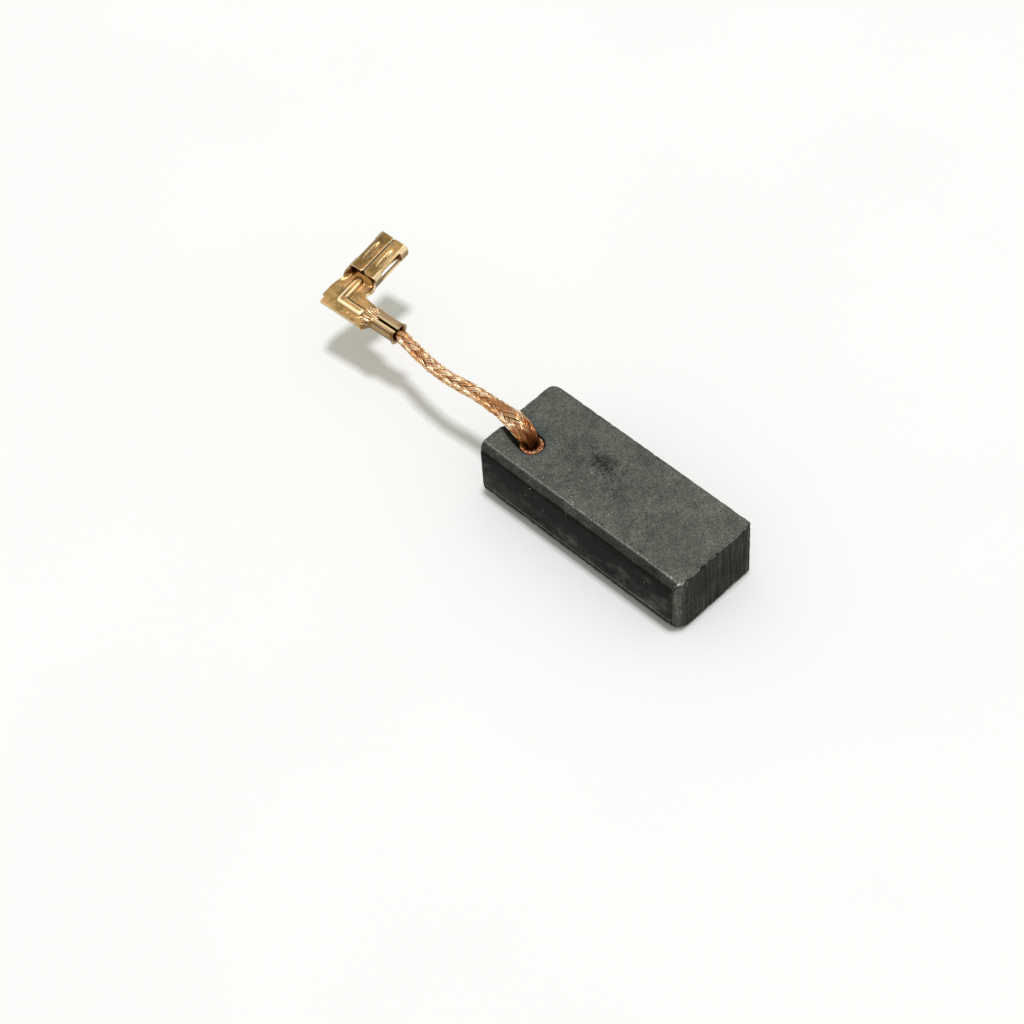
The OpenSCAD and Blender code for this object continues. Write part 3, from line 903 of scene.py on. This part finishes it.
# A thin pale line on the near side, just above the low chamfer: painted highlight on that edge.
edge_wear_and_highlight += 0.8 * near_side * np.exp(-((at_z - Z0 - 1.72) / 0.06) ** 2)


def spot(x, y, reach_x, reach_y):
    """1 in the middle of a soft round patch on the top and 0 outside it."""
    away = np.hypot((at_x - x) / reach_x, (at_y - y) / reach_y)
    return capped(1 - away) ** 0.7 * top


broad = noises((0.22, 0.22, 0.22), 4.4, 3)
smudge = noises((0.35, 0.9, 0.45), 6.6, 3)
tone_and_shade = 1.14 + 0.22 * broad + 0.10 * crumbs
specks = capped(noises((5, 5, 5), 9.4) * 5 - 0.4)
tone_and_shade -= spot(-2.1, 1.1, 1.7, 1.3) * (0.55 + 0.2 * specks)
tone_and_shade -= spot(-1.9, 0.8, 5.2, 3.2) * 0.65 * specks
tone_and_shade -= 0.10 * spot(-5.0, -1.0, 3.5, 2.5)
tone_and_shade += 0.10 * capped((at_x - 2) / 10) * top
# The top chamfer and the near side are darker, with lighter patches on the side, and a darker band runs
# under the chamfer: painted shade.
tone_and_shade -= 0.68 * cut_top * (1 + 0.15 * smudge)
tone_and_shade -= 0.99 * near_side * (1 - 0.7 * capped(smudge))
tone_and_shade -= 0.4 * near_side * np.exp(-((at_z - Z1 + 2.1) / 0.9) ** 2)
# A strip along the foot of the near side, and the low chamfer, are painted dark: painted shade for the
# floor in shadow under that chamfer.
low_strip_shade = near_side * (1 - capped((at_z - Z0 - 1.55) / 0.1))
tone_and_shade -= 0.5 * low_strip_shade + 0.9 * cut_low
# Painted shade along the far top edge, on the sawn end and its facet, and in the chips of the front edge.
far_edge_shade = capped(1 - to_far / 0.3) * capped(1 - to_top / 0.5)
tone_and_shade -= 0.6 * far_edge_shade
tone_and_shade -= 0.77 * front
tone_and_shade -= 0.52 * facet
tone_and_shade -= 0.5 * edge_in * front_edge * capped(flaked * 5)
# Painted shade in the hole and the groove.
by_groove = (np.abs(at_y - HOLE.y) < 2) & (at_x < HOLE.x + 1.6)
bore_shade = by_groove & (near_face > 0.14) | (hole_off < 1.5) & (to_top > 0.14)
tone_and_shade -= 0.75 * bore_shade
tint = capped(1 - np.hypot((at_x + 10.1) / 1.9, (at_y - 0.15) / 0.85))
tint = np.maximum(tint, 0.8 * capped(1 - np.abs(hole_off - 1.5) / 0.5)) * top
store(block, "edge_wear_and_highlight", edge_wear_and_highlight * (1 - far_edge_shade))
store(block, "tone_and_shade", np.clip(tone_and_shade, 0.06, 1.6))
store(block, "tint", tint * np.clip(0.45 + crumbs, 0, 0.8))
store(block, "sawn", np.maximum(front, facet * 0.7))
to_metres(block)
report(block)

# %% [markdown]
# ## The tamped powder
# Copper powder is rammed round the lead to hold it. It fills the hole to just under the rim, is pushed up
# into a rough ring by the tool, and has fallen away from the lead itself. The ring is a profile spun round
# the hole's axis, cut by the same groove as the block, and roughened point by point.

# %% Ram the powder
PROFILE = [(0.5, 1.65), (0.5, 6.95), (0.7, 6.98), (0.8, 7.05), (0.9, 7.12), (1.06, 7.13), (1.16, 7.02),
           (1.22, 6.6), (1.27, 1.65)]
start_clean()
bpy.ops.mesh.primitive_circle_add(vertices=len(PROFILE))
tamping = named("tamping_ring")
for vertex, (x, z) in zip(tamping.data.vertices, PROFILE):
    vertex.co = (x, 0, z)
edit(tamping)
bpy.ops.mesh.spin(steps=72, angle=2 * math.pi, center=(0, 0, 0), axis=(0, 0, 1))
bpy.ops.mesh.select_all(action="SELECT")
bpy.ops.mesh.remove_doubles(threshold=0.001)
bpy.ops.mesh.normals_make_consistent()
start_clean()
tamping.location = (HOLE.x, HOLE.y, 0)
settle(tamping)
cut_with(tamping, groove_cutter(0.75))
modify(tamping, "REMESH", mode="VOXEL", voxel_size=0.06, use_smooth_shade=True)
for vertex in tamping.data.vertices:
    if vertex.co.z > 5.8:
        grain = noise.noise(vertex.co * 5) + 0.8 * noise.noise(vertex.co * 11)
        vertex.co -= vertex.normal * 0.13 * max(0, grain + 0.2)
tamping.data.update()
# Lower in the hole the powder is darkened: painted shade.
store(tamping, "sunk_shade", [1 - step(6.72, 7.0, vertex.co.z) for vertex in tamping.data.vertices])
to_metres(tamping)
report(tamping)

# %% [markdown]
# ## Finishes
# A finish is a small tree of nodes. These helpers keep the trees readable: they add a node and wire its
# inputs, blend two colours, turn a number into a colour by a ramp, do a step of arithmetic, and read a
# pattern or a number that was kept with the mesh. They all work on the finish that is being made, which is
# always called look. Colours are written as they look on a screen, from 0 to 255.

# %% Node helpers
def rgb(red, green, blue):
    """A screen colour as the linear colour that a shader takes."""
    parts = [c / 255 for c in (red, green, blue)]
    return [((c + 0.055) / 1.055) ** 2.4 if c > 0.04 else c / 12.92 for c in parts] + [1]


def new_look(name):
    look = bpy.data.materials.new(name)
    look.use_nodes = True
    return look


def add(kind, inputs=None, **settings):
    """A new node with these settings and with its inputs wired or set."""
    item = look.node_tree.nodes.new(kind)
    for key, value in settings.items():
        setattr(item, key, value)
    connect(item, inputs or {})
    return item


def connect(item, inputs):
    """Wires what is a socket and sets what is a value."""
    for key, value in inputs.items():
        if isinstance(value, bpy.types.NodeSocket):
            look.node_tree.links.new(value, item.inputs[key])
        else:
            item.inputs[key].default_value = value


def blend(factor, a, b, mode="MIX"):
    return add("ShaderNodeMix", {0: factor, 6: a, 7: b}, data_type="RGBA", blend_type=mode).outputs[2]


def ramp(factor, stops):
    """A colour for each number, blended between these stops."""
    item = add("ShaderNodeValToRGB", {"Fac": factor})
    points = item.color_ramp.elements
    while len(points) < len(stops):
        points.new(0.5)
    for point, (place, colour) in zip(points, stops):
        point.position = place
        point.color = colour if isinstance(colour, list) else [colour] * 3 + [1]
    return item.outputs["Color"]


def sums(kind, a, b):
    return add("ShaderNodeMath", {0: a, 1: b}, operation=kind).outputs[0]


def in_mm(stretch=(1, 1, 1), turn=(0, 0, 0)):
    """The point on the piece in millimetres, as coordinates for a pattern."""
    place = add("ShaderNodeTexCoord").outputs["Object"]
    size = [1000 * s for s in stretch]
    return add("ShaderNodeMapping", {"Vector": place, "Scale": size, "Rotation": turn}).outputs[0]


def cloud(where, scale, detail=3, roughness=0.6):
    inputs = {"Vector": where, "Scale": scale, "Detail": detail, "Roughness": roughness}
    return add("ShaderNodeTexNoise", inputs).outputs["Fac"]


def cells(where, scale):
    """A field of cells: the distance to each one's seed, and a chance colour for each."""
    item = add("ShaderNodeTexVoronoi", {"Vector": where, "Scale": scale}, feature="F1")
    return item.outputs["Distance"], item.outputs["Color"]


def rescale(value, **ends):
    """A number moved from one range to another. Each range is 0 to 1 unless it is given."""
    inputs = {key.replace("_", " "): end for key, end in ends.items()}
    return add("ShaderNodeMapRange", {"Value": value, **inputs}).outputs[0]


def red_of(colour):
    return add("ShaderNodeSeparateColor", {"Color": colour}).outputs[0]


def kept(name):
    """A number that was stored with the mesh."""
    return add("ShaderNodeAttribute", attribute_name=name).outputs["Fac"]


def finish_with(colour, roughness, height, depth, **fixed):
    """Colour, roughness and bump into the shader, and what is the same all over onto its sockets."""
    shader = look.node_tree.nodes["Principled BSDF"]
    bump = add("ShaderNodeBump", {"Height": height, "Distance": depth * MM, "Strength": 1.0})
    connect(shader, {"Base Color": colour, "Roughness": roughness, "Normal": bump.outputs[0]})
    for key, value in fixed.items():
        shader.inputs[key.replace("_", " ")].default_value = value


# %% [markdown]
# Graphite is dark grey and almost matt, with a grain of fine dark pits and paler flakes, and here and there
# a flake with a painted glint. Edges go silvery, partly rubbed and partly painted highlight, with painted
# glints at the front corner. The sawn end has fine stripes from top to bottom.

# %% Graphite
look = new_look("graphite")
where = in_mm()
grain = cloud(where, 4.5, 5, 0.7)
fine = cloud(where, 14, 2, 0.6)
patches = cloud(where, 0.6, 3, 0.6)
stripes = cloud(in_mm((0.2, 7, 0.16)), 1, 3, 0.6)
colour = ramp(grain, [(0.36, rgb(36, 38, 34)), (0.5, rgb(78, 80, 73)), (0.64, rgb(110, 112, 102))])
colour = blend(0.52, colour, ramp(fine, [(0.4, rgb(24, 25, 23)), (0.6, rgb(128, 129, 121))]))
colour = blend(0.7, colour, ramp(patches, [(0.36, 0.72), (0.64, 1.18)]), "MULTIPLY")
stripe_tone = ramp(stripes, [(0.34, 0.25), (0.46, 0.75), (0.56, 1.1), (0.68, 2.6)])
colour = blend(kept("sawn"), colour, blend(1, colour, stripe_tone, "MULTIPLY"))
tone_and_shade = kept("tone_and_shade")
tone_and_light = add("ShaderNodeCombineColor", {"Red": tone_and_shade, "Green": tone_and_shade, "Blue": tone_and_shade}).outputs[0]
colour = blend(1, colour, tone_and_light, "MULTIPLY")

edge_wear_and_highlight = kept("edge_wear_and_highlight")
tint = kept("tint")
edge_rub_and_highlight = sums("MULTIPLY", edge_wear_and_highlight, red_of(ramp(grain, [(0.38, 0.1), (0.58, 1.0)])))
colour = blend(edge_rub_and_highlight, colour, rgb(168, 168, 160))
colour = blend(tint, colour, rgb(52, 70, 80))
# Painted glints on a few flakes.
distance, chance = cells(where, 1.7)
small = sums("LESS_THAN", distance, 0.075)
glint = sums("MULTIPLY", small, sums("GREATER_THAN", red_of(chance), 0.84))
colour = blend(glint, colour, rgb(210, 208, 198))
# Painted glints on the front corner, where the edges are lightened most.
corner_glint_zone = sums("GREATER_THAN", edge_wear_and_highlight, 1.15)
corner_glints = sums("MULTIPLY", corner_glint_zone, sums("GREATER_THAN", fine, 0.56))
colour = blend(corner_glints, colour, rgb(236, 234, 224))
dots = sums("LESS_THAN", cells(where, 3.2)[0], 0.17)
dust = sums("MULTIPLY", dots, sums("GREATER_THAN", tint, 0.42))
colour = blend(dust, colour, rgb(176, 116, 78))
rough = rescale(grain, To_Min=0.5, To_Max=0.75)
height = blend(kept("sawn"), blend(0.5, grain, fine), stripes)
finish_with(colour, rough, height, 0.05, Specular_IOR_Level=0.07)
block.data.materials.append(look)

# %% [markdown]
# The powder and the braid are both bare copper. The powder is a crust of grains, from pale orange to dark
# brown, with painted shade between the grains and deeper in the hole, and a painted highlight on its pale
# tops. The wires are pale pink gold on top of the weave, a painted highlight, and brown between, painted
# shade.

# %% Copper
look = new_look("copper_powder")
where = in_mm()
# The grains are lighter in their middles and darker between them, painted shade, and the pale tops of the
# lumps are a painted highlight.
grains = cells(where, 7)[0]
lumps = cloud(where, 5, 3)
colour = ramp(lumps, [(0.36, rgb(120, 56, 28)), (0.5, rgb(220, 136, 82)), (0.62, rgb(255, 208, 156))])
colour = blend(0.8, colour, ramp(grains, [(0.1, 1.3), (0.7, 0.3)]), "MULTIPLY")
colour = blend(sums("MULTIPLY", kept("sunk_shade"), 0.4), colour, rgb(124, 60, 30))
finish_with(colour, 0.55, lumps, 0.12, Metallic=0.35)
tamping.data.materials.append(look)

look = new_look("braided_copper")
where = in_mm()
streaks = cloud(where, 1.8, 3)
# Weave height as colour: brown low down is painted shade, near white on top is a painted highlight.
colour = ramp(kept("height"), [
    (0.0, rgb(60, 30, 16)),
    (0.22, rgb(160, 108, 66)),
    (0.55, rgb(236, 190, 138)),
    (0.9, rgb(255, 234, 202)),
])
# The shade number blends the wires towards near white: painted sheen.
tone_and_light = blend(kept("shade"), rgb(204, 164, 124), rgb(255, 255, 252))
colour = blend(1, colour, tone_and_light, "MULTIPLY")
colour = blend(0.6, colour, ramp(streaks, [(0.35, rgb(216, 180, 144)), (0.55, 1.0)]), "MULTIPLY")
rough = rescale(streaks, To_Min=0.12, To_Max=0.28)
finish_with(colour, rough, streaks, 0.01, Metallic=1.0)
lead.data.materials.append(look)

# The inner tube is a darker, duller copper: painted shade for the inside of the plait, seen through its
# gaps.
look = new_look("copper_inside")
where = in_mm()
core_mottle = cloud(where, 3, 3)
colour = ramp(core_mottle, [(0.3, rgb(96, 52, 30)), (0.7, rgb(150, 92, 56))])
finish_with(colour, 0.6, core_mottle, 0.05, Metallic=0.5)
lead.data.materials.append(look)
for face in lead.data.polygons[wire_faces:wire_faces + len(core) * CORE_SIDES]:
    face.material_index = 1

# %% [markdown]
# The brass is thin rolled sheet with a dull golden skin. It has clouds of olive and orange tarnish, faint
# rolling lines, stains, and an orange tint where it was heated. Its ridges carry a pale painted highlight,
# and its creases and shaded parts a brown painted shade.

# %% Brass
look = new_look("brass_sheet")
where = in_mm()
tarnish = cloud(where, 0.55, 4, 0.6)
stain = cloud(in_mm((0.9, 1.3, 1.1), (0.2, 0.4, 0.7)), 1.1, 3, 0.6)
rolled = cloud(in_mm((1.5, 14, 14), (0, 0, 0.1)), 1, 2, 0.5)
colour = ramp(tarnish, [(0.34, rgb(138, 118, 76)), (0.5, rgb(180, 150, 102)), (0.66, rgb(204, 162, 110))])
speckle = cloud(where, 5, 2)
for amount, pattern, stops in (
    (0.5, stain, [(0.35, rgb(196, 178, 130)), (0.55, rgb(255, 250, 240)), (0.75, rgb(255, 214, 170))]),
    (0.45, rolled, [(0.38, 0.62), (0.62, 1.12)]),
    (0.5, speckle, [(0.4, rgb(222, 204, 190)), (0.6, rgb(255, 255, 246))]),
):
    colour = blend(amount, colour, ramp(pattern, stops), "MULTIPLY")
stands = kept("proud")
crease_shade = rescale(stands, From_Min=-0.06, From_Max=-0.3)
ridge_highlight = rescale(stands, From_Min=0.02, From_Max=0.10)
colour = blend(crease_shade, colour, rgb(134, 100, 56))
colour = blend(sums("MULTIPLY", kept("heated"), 0.7), colour, rgb(206, 140, 66))
colour = blend(ridge_highlight, colour, rgb(250, 228, 182))
# Painted shade and painted reflection, dark brown.
colour = blend(kept("painted_shade"), colour, rgb(74, 48, 18))
rough = rescale(stain, To_Min=0.18, To_Max=0.38)
finish_with(colour, rough, blend(0.5, rolled, stain), 0.012, Metallic=1.0)
terminal.data.materials.append(look)
print("finishes:", [finish.name for finish in bpy.data.materials if finish.users])

# %% [markdown]
# ## Floor and light
# A plain white table and one soft lamp overhead, with an even white studio all round. The world is a little
# weaker for the light that it casts than for what the camera and the shiny metal see of it, so that the
# table stays white and keeps the soft shadow of the lead.

# %% Floor and light
start_clean()
bpy.ops.mesh.primitive_plane_add(size=3, location=(0, 0, -0.02 * MM))
floor = named("floor")
settle(floor)
look = new_look("table")
mottle = cloud(in_mm(), 0.02, 2)
colour = ramp(mottle, [(0.3, rgb(249, 249, 248)), (0.7, rgb(251, 251, 250))])
shader = look.node_tree.nodes["Principled BSDF"]
connect(shader, {"Base Color": colour, "Roughness": 0.9, "Specular IOR Level": 0.1})
floor.data.materials.append(look)

bpy.ops.object.light_add(type="AREA", location=(0.02, 0.03, 1.5))
lamp = bpy.context.object
lamp.name = "lamp"
lamp.data.size = 0.21
lamp.data.energy = 11
lamp.data.color = (1.0, 0.99, 1.07)

look = bpy.data.worlds.new("studio")
look.use_nodes = True
bpy.context.scene.world = look
rays = add("ShaderNodeLightPath").outputs
seen = sums("MAXIMUM", rays["Is Camera Ray"], rays["Is Glossy Ray"])
seen = sums("MAXIMUM", seen, rays["Is Transmission Ray"])
connect(look.node_tree.nodes["Background"], {
    "Strength": rescale(seen, To_Min=0.55, To_Max=1.0),
    "Color": blend(seen, (0.98, 1.0, 0.90, 1), (1, 1, 1, 1)),
})
bpy.context.scene.view_settings.view_transform = "Standard"
print("lamp:", lamp.data.energy, "W")

# %% [markdown]
# ## What each piece stands for
# Every piece rides on the part's one body and takes the place of its solid.

for piece, node_name, slot in (
    (block, "carbon_block", "graphite"),
    (tamping, "tamping", "copper_powder"),
    (lead, "shunt_lead", "copper_braid"),
    (terminal, "flag_terminal", "brass_sheet"),
):
    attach(piece, "root")
    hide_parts(node_name)
